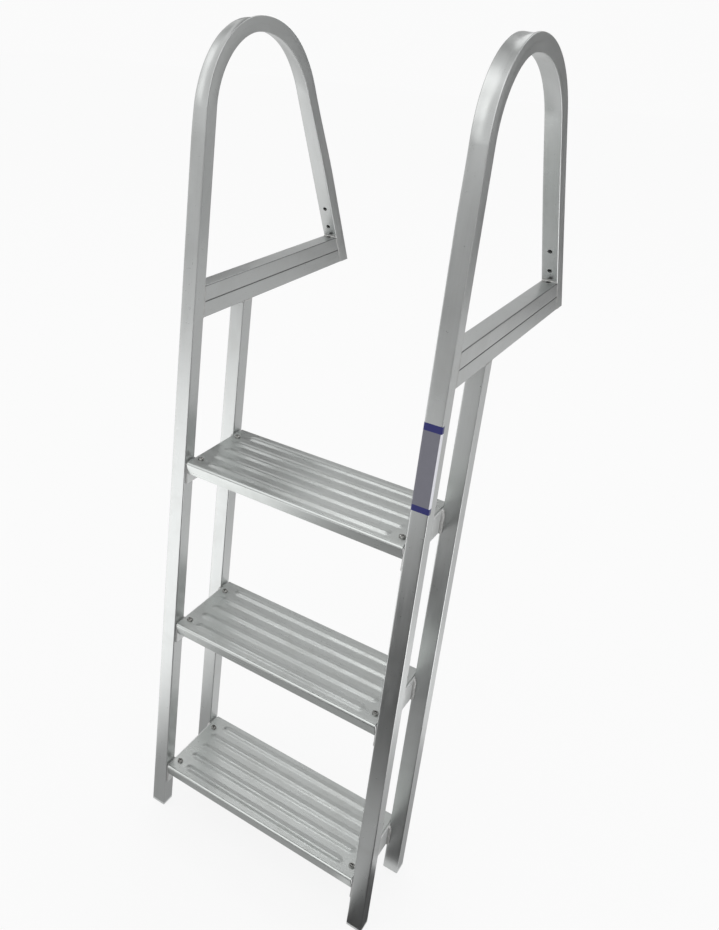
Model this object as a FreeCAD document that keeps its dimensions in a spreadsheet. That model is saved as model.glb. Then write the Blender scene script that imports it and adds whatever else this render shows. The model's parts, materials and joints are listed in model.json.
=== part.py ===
import FreeCAD, Part

import math
import os
import re

import Sketcher

# Dock ladder: two bent square-tube side frames that carry three pressed treads.
# Millimetres, +Z up, +X to the right of somebody climbing it, +Y towards the dock.
# The origin is where the back of the right rear leg meets the underside of the
# right deck rail, which is the edge of the dock that the ladder hangs on.

doc = FreeCAD.newDocument("dock_ladder")
sheet = doc.addObject("Spreadsheet::Sheet", "sizes")

DRIVING_SIZES = [
    ("tube_size", 25.4, "outside of the square tube, one inch"),
    ("tube_wall", 1.6, "wall of the square tube"),
    ("tube_corner", 1.0, "how far in the square tube's outside corners are eased"),
    ("overall_width", 418.0, "outer face to outer face of the side frames"),
    ("leg_depth", 165.0, "front of the front leg to back of the rear leg"),
    ("leg_height", 936.0, "feet to the underside of the deck rails"),
    ("deck_reach", 340.0, "back of the rear leg to the heel of the deck rail"),
    ("hoop_height", 438.0, "underside of the deck rail to the top of the hoop"),
    ("front_bend", 113.5, "radius of the hoop's front bend on the tube's centre line"),
    ("down_lean", 30.0, "lean of the down tube from upright, in degrees"),
    ("first_step", 92.0, "feet to the top of the lowest tread"),
    ("step_rise", 304.8, "tread to tread, one foot"),
    ("tread_sheet", 2.3, "thickness of the tread's sheet"),
    ("tread_setback", 0.5, "front and back of a tread inside the faces of the legs"),
    ("tread_flange", 22.0, "height of the tread's turned-down flanges"),
    ("flange_lean", 18.0, "how far past upright the flanges are folded, in degrees"),
    ("tread_edge", 4.0, "outside radius along the tread's edges"),
    ("end_gap", 0.3, "between a tread's end and the bracket beside it"),
    ("bead_pitch", 30.4, "spacing of the raised beads on a tread"),
    ("bead_width", 13.0, "width of a raised bead"),
    ("bead_rise", 2.2, "height of a raised bead"),
    ("bead_inset", 20.0, "tread's end to the end of an inner bead"),
    ("outer_bead_inset", 28.0, "tread's end to the end of the front and rear beads"),
    ("bracket_height", 38.0, "upright flange of a tread bracket"),
    ("bracket_width", 25.4, "level flange of a tread bracket"),
    ("bracket_plate", 2.5, "thickness of a tread bracket"),
    ("bracket_gap", 1.0, "between a bracket's ends and the tread's flanges"),
    ("screw_hole", 5.2, "hole for a tread screw"),
    ("screw_inset", 13.4, "inner face of a side frame to the tread screws"),
    ("front_screw", 24.0, "front of a tread to its front screws"),
    ("rear_screw", 32.5, "back of a tread to its rear screws"),
    ("bolt_hole", 7.5, "holes for the bolts that hold the ladder to a dock"),
    ("lower_bolt", 78.0, "deck rail's underside to the lower down-tube hole, on the axis"),
    ("bolt_pitch", 41.0, "between the two holes of a down tube"),
    ("heel_bolt", 65.0, "heel of the deck rail to the hole through both rails"),
]

# Places that follow from the driving sizes, one formula to a cell. The rear bend
# takes up the room that the front bend, the reach and the lean leave for it.
DERIVED_SIZES = [
    ("tube_inside", "tube_size - 2 * tube_wall"),
    ("frame_pitch", "overall_width - tube_size"),
    ("centre_plane", "-frame_pitch / 2"),
    ("clear_width", "overall_width - 2 * tube_size"),
    ("front_leg_back", "tube_size - leg_depth"),
    ("front_axis", "tube_size / 2 - leg_depth"),
    ("top_axis", "hoop_height - tube_size / 2"),
    ("front_bend_foot", "top_axis - front_bend"),
    ("hoop_crown", "front_axis + front_bend"),
    ("lean_sine", "sin(down_lean * 1 deg)"),
    ("lean_cosine", "cos(down_lean * 1 deg)"),
    ("slope", "tan(down_lean * 1 deg)"),
    ("slant_width", "tube_size / lean_cosine"),
    ("heel_axis", "deck_reach - slant_width / 2"),
    ("rear_bend_room", "heel_axis - hoop_crown - top_axis * slope"),
    ("rear_bend", "rear_bend_room * lean_cosine / (1 - lean_sine)"),
    ("rear_bend_foot", "top_axis - rear_bend * (1 - lean_sine)"),
    ("rear_bend_back", "hoop_crown + rear_bend * lean_cosine"),
    ("past_the_tube", "3 * tube_size"),
    ("tread_length", "clear_width - 2 * (bracket_plate + end_gap)"),
    ("tread_depth", "leg_depth - 2 * tread_setback"),
    ("tread_front", "tread_setback - leg_depth"),
    ("fold_sine", "sin(flange_lean * 1 deg)"),
    ("fold_cosine", "cos(flange_lean * 1 deg)"),
    ("fold_inside", "tread_edge - tread_sheet"),
    ("flange_run", "(tread_flange - tread_edge * (1 + fold_sine)) / fold_cosine"),
    ("flange_foot", "tread_edge * (1 - fold_cosine) + flange_run * fold_sine"),
    ("bead_radius", "bead_width * bead_width / (8 * bead_rise) + bead_rise / 2"),
    ("bead_axis", "bead_rise - bead_radius"),
    ("bead_half_angle", "asin(bead_width / (2 * bead_radius))"),
    ("hollow_radius", "bead_radius - tread_sheet"),
    ("hollow_floor", "-bead_axis - tread_sheet"),
    ("hollow_half_angle", "acos(hollow_floor / hollow_radius)"),
    ("bracket_top", "first_step - leg_height - tread_sheet"),
    ("bracket_depth", "tread_sheet + bracket_plate"),
    ("bracket_inset", "tread_sheet / fold_cosine + bracket_depth * fold_sine + bracket_gap"),
    ("bracket_front", "tread_front + bracket_inset"),
    ("bracket_length", "tread_depth - 2 * bracket_inset"),
]

ALIASES = {alias for alias, *_ in DRIVING_SIZES + DERIVED_SIZES}


def linked(formula):
    """The formula with each size written as a reference to its cell of the sheet."""
    return re.sub(
        r"[a-z_]+",
        lambda word: f"sizes.{word.group()}" if word.group() in ALIASES else word.group(),
        formula,
    )


for row, (alias, size, meaning) in enumerate(DRIVING_SIZES, start=1):
    sheet.set(f"A{row}", alias)
    sheet.set(f"B{row}", str(size))
    sheet.set(f"C{row}", meaning)
    sheet.setAlias(f"B{row}", alias)
for row, (alias, formula) in enumerate(DERIVED_SIZES, start=len(DRIVING_SIZES) + 2):
    sheet.set(f"A{row}", alias)
    sheet.set(f"B{row}", f"={formula}")
    sheet.setAlias(f"B{row}", alias)
doc.recompute()


def value(formula):
    """What a formula comes to with the sheet's present sizes."""
    result = sheet.evalExpression(linked(formula))
    return float(getattr(result, "Value", result))


def bind(thing, prop, formula):
    thing.setExpression(prop, linked(formula))


def new_body(label):
    body = doc.addObject("PartDesign::Body", label)
    body.Label = label
    return body


def sketch_on(body, role, name, up=None, offset=None):
    """A sketch on one of the body's own origin planes.

    up moves it within the plane, and offset moves it along the plane's normal.
    """
    sketch = body.newObject("Sketcher::SketchObject", f"{body.Name}_{name}")
    plane = next(face for face in body.Origin.OriginFeatures if face.Role == role)
    sketch.AttachmentSupport = [(plane, "")]
    sketch.MapMode = "FlatFace"
    if up:
        bind(sketch, "AttachmentOffset.Base.y", up)
    if offset:
        bind(sketch, "AttachmentOffset.Base.z", offset)
    return sketch


def arc_between(start, end, radius, turn):
    """The shorter arc from start to end; turn is 1 to the left and -1 to the right."""
    chord = end.sub(start)
    to_left = FreeCAD.Vector(-chord.y, chord.x, 0).normalize()
    rise = math.sqrt(max(radius**2 - (chord.Length / 2) ** 2, 0.0))
    centre = start.add(end).multiply(0.5).add(to_left.multiply(turn * rise))
    first, last = (start, end) if turn > 0 else (end, start)
    angles = [math.atan2(p.y - centre.y, p.x - centre.x) for p in (first, last)]
    circle = Part.Circle(centre, FreeCAD.Vector(0, 0, 1), radius)
    return Part.ArcOfCircle(circle, *angles)


def draw(sketch, corners, closed=True):
    """Draws an outline whose corners are bound to formulas.

    A corner is (across, up) where a straight edge leaves it, and
    (across, up, radius, turn) where an arc of that radius leaves it.
    """
    points = [FreeCAD.Vector(value(corner[0]), value(corner[1]), 0) for corner in corners]
    base = sketch.GeometryCount
    edges = len(corners) if closed else len(corners) - 1
    ends = []
    for i in range(edges):
        start, end = points[i], points[(i + 1) % len(points)]
        if len(corners[i]) == 2:
            sketch.addGeometry(Part.LineSegment(start, end), False)
            ends.append((1, 2))
        else:
            radius, turn = corners[i][2:]
            sketch.addGeometry(arc_between(start, end, value(radius), turn), False)
            ends.append((1, 2) if turn > 0 else (2, 1))
            rule = sketch.addConstraint(Sketcher.Constraint("Radius", base + i, value(radius)))
            bind(sketch, f"Constraints[{rule}]", radius)
    for i in range(edges if closed else edges - 1):
        after = (i + 1) % edges
        joint = Sketcher.Constraint("Coincident", base + i, ends[i][1], base + after, ends[after][0])
        sketch.addConstraint(joint)
    for i, (corner, point) in enumerate(zip(corners, points)):
        edge, end = (base + i, ends[i][0]) if i < edges else (base + i - 1, ends[i - 1][1])
        for kind, place, formula in (("DistanceX", point.x, corner[0]), ("DistanceY", point.y, corner[1])):
            rule = sketch.addConstraint(Sketcher.Constraint(kind, -1, 1, edge, end, place))
            bind(sketch, f"Constraints[{rule}]", formula)


def draw_circle(sketch, across, up, diameter):
    centre = FreeCAD.Vector(value(across), value(up), 0)
    normal = FreeCAD.Vector(0, 0, 1)
    edge = sketch.addGeometry(Part.Circle(centre, normal, value(diameter) / 2), False)
    for kind, place, formula in (("DistanceX", centre.x, across), ("DistanceY", centre.y, up)):
        rule = sketch.addConstraint(Sketcher.Constraint(kind, -1, 1, edge, 3, place))
        bind(sketch, f"Constraints[{rule}]", formula)
    rule = sketch.addConstraint(Sketcher.Constraint("Diameter", edge, value(diameter)))
    bind(sketch, f"Constraints[{rule}]", diameter)


def draw_tube_section(sketch, up):
    """The square tube's section: corners eased outside and sharp inside, up from the origin."""
    half, flat, bore = "tube_size / 2", "(tube_size / 2 - tube_corner)", "tube_inside / 2"
    draw(
        sketch,
        [
            (f"-{flat}", f"{up} - {half}"),
            (flat, f"{up} - {half}"),
            (half, f"{up} - {flat}"),
            (half, f"{up} + {flat}"),
            (flat, f"{up} + {half}"),
            (f"-{flat}", f"{up} + {half}"),
            (f"-{half}", f"{up} + {flat}"),
            (f"-{half}", f"{up} - {flat}"),
        ],
    )
    draw(
        sketch,
        [
            (f"-{bore}", f"{up} - {bore}"),
            (bore, f"{up} - {bore}"),
            (bore, f"{up} + {bore}"),
            (f"-{bore}", f"{up} + {bore}"),
        ],
    )


def pad(body, sketch, length, name="pad", both_ways=False):
    feature = body.newObject("PartDesign::Pad", f"{body.Name}_{name}")
    feature.Profile = sketch
    feature.SideType = "Symmetric" if both_ways else "One side"
    bind(feature, "Length", length)
    return feature


def cut_something(body, before, name):
    """Makes sure that the last feature took material away."""
    doc.recompute()
    if not body.Shape.Volume < before:
        raise RuntimeError(f"{body.Label}: {name} cuts nothing")


def pocket(body, sketch, depth, name):
    """Cuts the sketch out of the body, half the depth to each side of its plane."""
    doc.recompute()
    before = body.Shape.Volume
    feature = body.newObject("PartDesign::Pocket", f"{body.Name}_{name}")
    feature.Profile = sketch
    feature.SideType = "Symmetric"
    bind(feature, "Length", depth)
    cut_something(body, before, name)
    return feature


def turn_about_length(body, kind, sketch, half_angle, name):
    """Sweeps a profile about its sketch's level axis by the same angle to each side."""
    feature = body.newObject(f"PartDesign::{kind}", f"{body.Name}_{name}")
    feature.Profile = sketch
    feature.ReferenceAxis = (sketch, ["H_Axis"])
    feature.Midplane = True
    bind(feature, "Angle", f"2 * {half_angle}")
    return feature


def stand_at(body, across="0", along="0", up="0"):
    for axis, formula in zip("xyz", (across, along, up)):
        bind(body, f"Placement.Base.{axis}", formula)


# Each side is its name, where its frame stands across the ladder, and which way
# its inner face looks: -1 towards -X on the right frame and 1 on the left one.
SIDES = [("right", "0", -1), ("left", "-frame_pitch", 1)]
STEPS = ["bottom", "middle", "top"]


def make_hoop_rail(side, across):
    """One tube: up from the foot, over in two bends, and down on a slant to the heel."""
    body = new_body(f"{side}_hoop_rail")
    path = sketch_on(body, "YZ_Plane", "path")
    draw(
        path,
        [
            ("front_axis", "-leg_height"),
            ("front_axis", "front_bend_foot", "front_bend", -1),
            ("hoop_crown", "top_axis", "rear_bend", -1),
            ("rear_bend_back", "rear_bend_foot"),
            ("heel_axis + tube_size * slope", "-tube_size"),
        ],
        closed=False,
    )
    section = sketch_on(body, "XY_Plane", "section", offset="-leg_height")
    draw_tube_section(section, "front_axis")
    doc.recompute()
    tube = body.newObject("PartDesign::AdditivePipe", f"{side}_bent_tube")
    tube.Profile = section
    tube.Spine = (path, [f"Edge{i + 1}" for i in range(path.GeometryCount)])

    below_deck = sketch_on(body, "YZ_Plane", "heel_cut")
    draw(
        below_deck,
        [
            ("0", "-past_the_tube"),
            ("deck_reach + past_the_tube", "-past_the_tube"),
            ("deck_reach + past_the_tube", "0"),
            ("0", "0"),
        ],
    )
    pocket(body, below_deck, "past_the_tube", "level_heel")

    # The bolt holes run square to the slanted tube, so their sketch leans with it.
    holes = sketch_on(body, "XY_Plane", "bolt_holes")
    across_axis = FreeCAD.Vector(1, 0, 0)
    leaning = FreeCAD.Rotation(across_axis, value("down_lean") - 90)
    holes.AttachmentOffset = FreeCAD.Placement(FreeCAD.Vector(), leaning)
    bind(holes, "AttachmentOffset.Rotation.Angle", "(down_lean - 90) * 1 deg")
    bind(holes, "AttachmentOffset.Base.y", "heel_axis * lean_cosine * lean_cosine")
    bind(holes, "AttachmentOffset.Base.z", "heel_axis * lean_cosine * lean_sine")
    lower = "heel_axis * lean_sine - lower_bolt / lean_cosine"
    draw_circle(holes, "0", lower, "bolt_hole")
    draw_circle(holes, "0", f"{lower} - bolt_pitch", "bolt_hole")
    pocket(body, holes, "2 * tube_size", "bolt_hole_pair")
    stand_at(body, across)


def make_deck_rail(side, across, label, layer):
    """A level tube from the front leg back to the slanted tube, cut to its slant."""
    body = new_body(f"{side}_deck_rail_{label}")
    floor = f"{layer} * tube_size"
    section = sketch_on(body, "XZ_Plane", "section", offset="-front_leg_back")
    draw_tube_section(section, f"({layer} + 0.5) * tube_size")
    length = pad(body, section, "deck_reach - front_leg_back", name="level_tube")
    length.Reversed = True

    slant = sketch_on(body, "YZ_Plane", "slant")
    face_foot = f"deck_reach - slant_width - {floor} * slope"
    past_heel = "deck_reach + past_the_tube"
    draw(
        slant,
        [
            (f"{face_foot} + tube_size * slope", f"{floor} - tube_size"),
            (past_heel, f"{floor} - tube_size"),
            (past_heel, f"{floor} + 2 * tube_size"),
            (f"{face_foot} - 2 * tube_size * slope", f"{floor} + 2 * tube_size"),
        ],
    )
    pocket(body, slant, "past_the_tube", "slanted_end")

    hole = sketch_on(body, "XY_Plane", "bolt_hole")
    draw_circle(hole, "0", "deck_reach - heel_bolt", "bolt_hole")
    pocket(body, hole, "2 * past_the_tube", "heel_bolt_hole")
    stand_at(body, across)


def make_rear_leg(side, across):
    """A straight tube that butts up under the deck rail."""
    body = new_body(f"{side}_rear_leg")
    section = sketch_on(body, "XY_Plane", "section", offset="-leg_height")
    draw_tube_section(section, "-tube_size / 2")
    pad(body, section, "leg_height", name="upright")
    stand_at(body, across)


def make_bracket(side, across, inward, step, label):
    """A length of angle welded to the inner faces of both legs, under a tread's end."""
    body = new_body(f"{label}_{side}_bracket")
    profile = sketch_on(body, "XZ_Plane", "profile", offset="-bracket_front")
    draw(
        profile,
        [
            ("0", "0"),
            (f"{inward} * bracket_width", "0"),
            (f"{inward} * bracket_width", "-bracket_plate"),
            (f"{inward} * bracket_plate", "-bracket_plate"),
            (f"{inward} * bracket_plate", "-bracket_height"),
            ("0", "-bracket_height"),
        ],
    )
    angle = pad(body, profile, "bracket_length", name="angle")
    angle.Reversed = True
    holes = sketch_on(body, "XY_Plane", "screw_holes")
    for along in ("front_screw", "tread_depth - rear_screw"):
        draw_circle(holes, f"{inward} * screw_inset", f"tread_front + {along}", "screw_hole")
    pocket(body, holes, "4 * bracket_plate", "screw_hole_pair")
    stand_at(
        body,
        f"{across} + {inward} * tube_size / 2",
        "0",
        f"bracket_top + {step} * step_rise",
    )


def make_bead(body, number, place):
    """Presses one bead: a round-topped ridge with domed ends, and its hollow below.

    Ridge and hollow are turned about one level axis under the sheet, so the
    sheet keeps its thickness over them. The hollow stops square at the domes.
    """
    inset = "outer_bead_inset" if abs(place) == 2 else "bead_inset"
    straight = f"(tread_length / 2 - {inset} - bead_width / 2)"
    along = f"-(tread_depth / 2 + {place} * bead_pitch)"
    dome = "bead_width / 2"
    ridge = sketch_on(body, "XZ_Plane", f"ridge_{number}", up="bead_axis", offset=along)
    draw(
        ridge,
        [
            (f"-{straight}", "hollow_radius"),
            (straight, "hollow_radius"),
            (f"{straight} + {dome}", "-bead_axis", "bead_radius", 1),
            (straight, "bead_radius"),
            (f"-{straight}", "bead_radius", "bead_radius", 1),
            (f"-{straight} - {dome}", "-bead_axis"),
        ],
    )
    turn_about_length(body, "Revolution", ridge, "bead_half_angle", f"ridge_turn_{number}")
    doc.recompute()
    before = body.Shape.Volume

    hollow = sketch_on(body, "XZ_Plane", f"hollow_{number}", up="bead_axis", offset=along)
    draw(
        hollow,
        [
            (f"-{straight}", "hollow_floor"),
            (straight, "hollow_floor"),
            (straight, "hollow_radius"),
            (f"-{straight}", "hollow_radius"),
        ],
    )
    turn_about_length(body, "Groove", hollow, "hollow_half_angle", f"hollow_turn_{number}")
    cut_something(body, before, f"hollow_{number}")


def make_tread(step, label):
    """A sheet folded into a shallow pan, with five raised beads along its length."""
    body = new_body(f"{label}_tread")
    pan = sketch_on(body, "YZ_Plane", "pan")
    foot_across = "flange_foot + tread_sheet * fold_cosine"
    foot_up = "tread_sheet * fold_sine - tread_flange"
    fold_across = "tread_edge - fold_inside * fold_cosine"
    fold_up = "-tread_edge - fold_inside * fold_sine"
    outer_across = "tread_edge - tread_edge * fold_cosine"
    outer_up = "-tread_edge - tread_edge * fold_sine"
    draw(
        pan,
        [
            ("flange_foot", "-tread_flange"),
            (foot_across, foot_up),
            (fold_across, fold_up, "fold_inside", -1),
            ("tread_edge", "-tread_sheet"),
            ("tread_depth - tread_edge", "-tread_sheet", "fold_inside", -1),
            (f"tread_depth - ({fold_across})", fold_up),
            (f"tread_depth - ({foot_across})", foot_up),
            ("tread_depth - flange_foot", "-tread_flange"),
            (f"tread_depth - ({outer_across})", outer_up, "tread_edge", 1),
            ("tread_depth - tread_edge", "0"),
            ("tread_edge", "0", "tread_edge", 1),
            (outer_across, outer_up),
        ],
    )
    pad(body, pan, "tread_length", name="pan", both_ways=True)
    for number, place in enumerate((-2, -1, 0, 1, 2), start=1):
        make_bead(body, number, place)

    screws = sketch_on(body, "XY_Plane", "screw_holes")
    for end in (-1, 1):
        across = f"{end} * (clear_width / 2 - screw_inset)"
        draw_circle(screws, across, "front_screw", "screw_hole")
        draw_circle(screws, across, "tread_depth - rear_screw", "screw_hole")
    pocket(body, screws, "4 * tread_sheet", "screw_hole_set")
    stand_at(
        body,
        "centre_plane",
        "tread_front",
        f"first_step - leg_height + {step} * step_rise",
    )


for side, across, inward in SIDES:
    make_hoop_rail(side, across)
    make_deck_rail(side, across, "lower", 0)
    make_deck_rail(side, across, "upper", 1)
    make_rear_leg(side, across)
    for step, label in enumerate(STEPS):
        make_bracket(side, across, inward, step, label)
for step, label in enumerate(STEPS):
    make_tread(step, label)

doc.recompute()

bodies = [thing for thing in doc.Objects if thing.TypeId == "PartDesign::Body"]
for thing in doc.Objects:
    if "Invalid" in thing.State or "Error" in thing.State:
        raise RuntimeError(f"{thing.Name} did not build: {thing.State}")
for body in bodies:
    if body.Shape.isNull() or not body.Shape.isValid():
        raise RuntimeError(f"{body.Label} has no sound shape")

os.makedirs("parts", exist_ok=True)
for body in bodies:
    body.Shape.exportStep(f"parts/{body.Label}.step")
    print(body.Label, round(body.Shape.Volume / 1000, 2), "cm3")
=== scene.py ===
"""Dock ladder: the surfaces, finishes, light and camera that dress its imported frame.

Metres, in the frame of the CAD: +Z up, +X to the right of somebody climbing the
ladder, +Y towards the dock, with the feet at the bottom of the frame's box.
"""

import json
import math
from types import SimpleNamespace

import bpy
import numpy as np
from mathutils import Matrix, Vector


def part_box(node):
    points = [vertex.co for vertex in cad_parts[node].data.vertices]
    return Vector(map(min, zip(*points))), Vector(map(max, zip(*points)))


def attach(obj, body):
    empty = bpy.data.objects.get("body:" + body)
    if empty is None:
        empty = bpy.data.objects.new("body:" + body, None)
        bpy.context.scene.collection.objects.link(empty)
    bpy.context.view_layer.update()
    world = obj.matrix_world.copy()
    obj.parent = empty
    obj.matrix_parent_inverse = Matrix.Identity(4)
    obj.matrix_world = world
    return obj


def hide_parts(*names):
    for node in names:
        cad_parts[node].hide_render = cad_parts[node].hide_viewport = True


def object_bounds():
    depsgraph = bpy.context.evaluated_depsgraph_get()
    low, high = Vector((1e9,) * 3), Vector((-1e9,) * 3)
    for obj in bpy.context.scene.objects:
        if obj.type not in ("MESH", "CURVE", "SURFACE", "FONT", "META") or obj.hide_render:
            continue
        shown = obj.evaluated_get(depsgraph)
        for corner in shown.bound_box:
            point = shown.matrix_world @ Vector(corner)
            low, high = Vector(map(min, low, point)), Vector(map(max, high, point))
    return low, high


bl_info = {
    "name": "Dock ladder",
    "version": (1, 0, 0),
    "blender": (4, 5, 0),
    "location": "3D View > Sidebar > Dock ladder",
    "description": "Dresses a square-tube dock ladder with pressed treads, welds, screws and a studio",
    "category": "Object",
}

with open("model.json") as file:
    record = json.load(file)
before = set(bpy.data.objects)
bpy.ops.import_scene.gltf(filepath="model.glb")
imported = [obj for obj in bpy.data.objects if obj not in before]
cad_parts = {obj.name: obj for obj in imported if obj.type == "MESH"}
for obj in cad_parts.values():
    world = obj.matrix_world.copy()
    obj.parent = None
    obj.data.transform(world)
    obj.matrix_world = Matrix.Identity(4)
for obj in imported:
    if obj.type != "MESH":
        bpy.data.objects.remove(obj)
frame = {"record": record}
CAD_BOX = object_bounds()

SIDES = ("right", "left")
STEPS = ("bottom", "middle", "top")
ACROSS = np.array([1.0, 0.0, 0.0])
ALONG = np.array([0.0, 1.0, 0.0])
UP = np.array([0.0, 0.0, 1.0])
MM = 0.001


def node_box(node):
    """The lowest and the highest corner of a CAD node, as two arrays."""
    low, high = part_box(node)
    return np.array(low), np.array(high)


def bolt_holes(side, kind):
    """The record's bores of one side whose name holds the word kind: (place, axis, radius)."""
    return [
        (np.array(m["pos_m"]), np.array(m["axis"]), m["dims"]["r_mm"] * MM)
        for m in frame["record"]["mounts"]
        if m["name"].startswith(side) and kind in m["name"]
    ]


# Sizes and colours that a user would change


def number(name, description, default, **more):
    return bpy.props.FloatProperty(
        name=name, description=description, default=default, precision=5, **more
    )


def metres(name, description, default):
    return number(name, description, default, unit="LENGTH", min=0.0)


def angle(name, description, degrees):
    return number(name, description, math.radians(degrees), subtype="ANGLE")


def colour(name, description, default):
    return bpy.props.FloatVectorProperty(
        name=name, description=description, default=default, subtype="COLOR", size=3, min=0.0, max=1.0
    )


class TubeSizes(bpy.types.PropertyGroup):
    """The square tube and the two bends of a hoop."""

    wall: metres("Wall", "Thickness of the tube's wall", 1.6 * MM)
    corner: metres("Corner", "Outside corner radius of the tube", 1.6 * MM)
    inner_corner: metres("Inner corner", "Inside corner radius of the tube", 0.4 * MM)
    front_bend: metres("Front bend", "Centre-line radius of the hoop's front bend", 113.5 * MM)
    down_lean: angle("Lean", "Lean of the down tube from upright", 30)
    outer_sink: metres("Outer sink", "How far the outer wall sinks in the front bend", 2.3 * MM)
    inner_sink: metres("Inner sink", "How far the inner wall sinks in the front bend", 1.3 * MM)
    side_swell: metres("Side swell", "How far the side walls swell in the front bend", 0.35 * MM)
    pressing: number("Pressing", "How much of the bending tool's flattening the hoops show", 1.0)


class TreadSizes(bpy.types.PropertyGroup):
    """The pressed sheet of a tread."""

    sheet: metres("Sheet", "Thickness of the sheet", 2.3 * MM)
    edge: metres("Edge", "Outside radius along the folds", 4.0 * MM)
    flange: metres("Flange", "Height of the folded flanges", 22.0 * MM)
    fold_lean: angle("Flange lean", "How far past upright the flanges are folded", 18)
    bead_pitch: metres("Bead pitch", "Spacing of the beads", 30.4 * MM)
    bead_width: metres("Bead width", "Width of a bead", 13.0 * MM)
    bead_rise: metres("Bead rise", "Height of a bead of the solid tread over its sheet", 2.2 * MM)
    bead_crest: metres("Bead crest", "Height of a bead once its crest is rounded", 1.1 * MM)
    bead_reach: metres("Bead reach", "Spine of a bead to where it has run out into the sheet", 10.0 * MM)
    bead_inset: metres("Bead inset", "Tread's end to an inner bead", 20.0 * MM)
    outer_inset: metres("Outer inset", "Tread's end to the front and rear beads", 28.0 * MM)


class FastenerSizes(bpy.types.PropertyGroup):
    """Brackets, screws, nuts and welds."""

    plate: metres("Plate", "Thickness of a bracket", 2.5 * MM)
    screw_inset: metres("Screw inset", "Inner face of a frame to the tread screws", 13.4 * MM)
    front_screw: metres("Front screw", "Front of a tread to its front screws", 24.0 * MM)
    rear_screw: metres("Rear screw", "Back of a tread to its rear screws", 32.5 * MM)
    head: metres("Head", "Radius of a screw's pan head", 5.0 * MM)
    head_rise: metres("Head rise", "Height of a pan head", 3.4 * MM)
    shank: metres("Shank", "Radius of a screw's thread", 2.45 * MM)
    nut: metres("Nut", "Half the width of a nut across its flats", 4.0 * MM)
    nut_height: metres("Nut height", "Height of a nut", 4.6 * MM)
    weld: metres("Weld", "Leg of a fillet weld", 3.2 * MM)
    weld_pitch: metres("Weld pitch", "Spacing of a weld's ripples", 2.1 * MM)


class Finishes(bpy.types.PropertyGroup):
    """Colours of the metals and of the blank strip."""

    tube: colour("Tube", "Extruded satin aluminium", (0.50, 0.512, 0.508))
    tread: colour("Tread", "Pressed satin sheet", (0.50, 0.518, 0.508))
    # The bracket's tint, paler than the tubes', is partly painted light for the brightness it shows
    # between the legs.
    bracket: colour("Bracket", "Mill-finish angle", (0.70, 0.71, 0.705))
    weld: colour("Weld", "Wire-brushed weld", (0.58, 0.58, 0.572))
    # The steel's dark tint is partly painted shade, for the dark surroundings that the screw heads
    # mirror.
    steel: colour("Steel", "Stainless screws and nuts", (0.30, 0.30, 0.29))
    # The strip's dark ground is partly the average tone of its print and partly painted shade on the
    # leg's front; its pale edge is a painted highlight where the film laps round the lit corner.
    strip: colour("Strip", "Ground of the blank strip", (0.17, 0.17, 0.205))
    strip_edge_highlight: colour("Strip edge", "Bare margin of the blank strip", (0.86, 0.86, 0.92))
    band: colour("Band", "The strip's two plain bands", (0.008, 0.010, 0.14))


class StudioSettings(bpy.types.PropertyGroup):
    """The camera and the light."""

    camera_place: bpy.props.FloatVectorProperty(
        name="Camera", description="Where the camera stands", subtype="XYZ",
        default=(0.36892, -1.27153, 0.4658),
    )
    azimuth: number("Azimuth", "Degrees from +Y towards -X that the camera looks", 36.5567)
    elevation: number("Elevation", "Degrees that the camera looks down", 19.8376)
    roll: number("Roll", "Degrees that the camera leans", 2.7311)
    focal_pixels: number("Focal length", "In pixels of the photograph", 947.637)
    optical_x: number("Optical centre across", "Pixels from the left of the photograph", 155.0)
    optical_y: number("Optical centre down", "Pixels from the top of the photograph", 330.0)
    world: number("World", "Strength of the world on the object's own colour", 0.8)
    key: number("Key", "Watts of the front softbox", 10.0)
    overhead: number("Overhead", "Watts of the overhead softbox", 16.0)


GROUPS = {
    "ladder_tube": TubeSizes,
    "ladder_tread": TreadSizes,
    "ladder_fasteners": FastenerSizes,
    "ladder_finishes": Finishes,
    "ladder_studio": StudioSettings,
}


# Grids, meshes and pieces


def spread(*coordinates):
    """Points of a grid from arrays of coordinates that fill the grid between them."""
    return np.stack(np.broadcast_arrays(*coordinates), axis=-1)


def grid_faces(rows, columns, closed, flip=False, start=0):
    """Quads of a grid whose points start at an index; closed joins the last column to the first."""
    i = np.arange(rows - 1)[:, None] * columns
    j = np.arange(columns if closed else columns - 1)[None, :]
    after = (j + 1) % columns
    corners = [i + j, i + after, i + columns + after, i + columns + j]
    quads = np.stack(corners, axis=-1).reshape(-1, 4) + start
    return quads[:, ::-1] if flip else quads


def strip_faces(first, second):
    """Quads between two rows of indices of the same length."""
    return np.stack([first[:-1], first[1:], second[1:], second[:-1]], axis=-1)


def sheet_faces(rows, columns, flip):
    """Faces of a sheet: a grid, the same grid on its other side, and the four edges between them."""
    count = rows * columns
    grid = np.arange(count).reshape(rows, columns)
    groups = [grid_faces(rows, columns, False, flip=True), grid_faces(rows, columns, False, start=count)]
    for edge, turned_over in ((grid[0], 0), (grid[-1], 1), (grid[:, 0], 1), (grid[:, -1], 0)):
        quads = strip_faces(edge, edge + count)
        groups.append(quads[:, ::-1] if turned_over else quads)
    return [group[:, ::-1] for group in groups] if flip else groups


def closed_faces(points, columns, flip=False):
    """Faces of a closed grid whose first and last rows are each filled by one polygon."""
    rows = len(points) // columns
    row = np.arange(columns)[None, :]
    groups = [grid_faces(rows, columns, True), row[:, ::-1], row + (rows - 1) * columns]
    return [group[:, ::-1] for group in groups] if flip else groups


def joined(parts):
    """One list of points and faces out of several."""
    points, faces, start = [], [], 0
    for part_points, part_faces in parts:
        points.append(part_points)
        faces.extend(group + start for group in part_faces)
        start += len(part_points)
    return np.concatenate(points), faces


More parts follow.
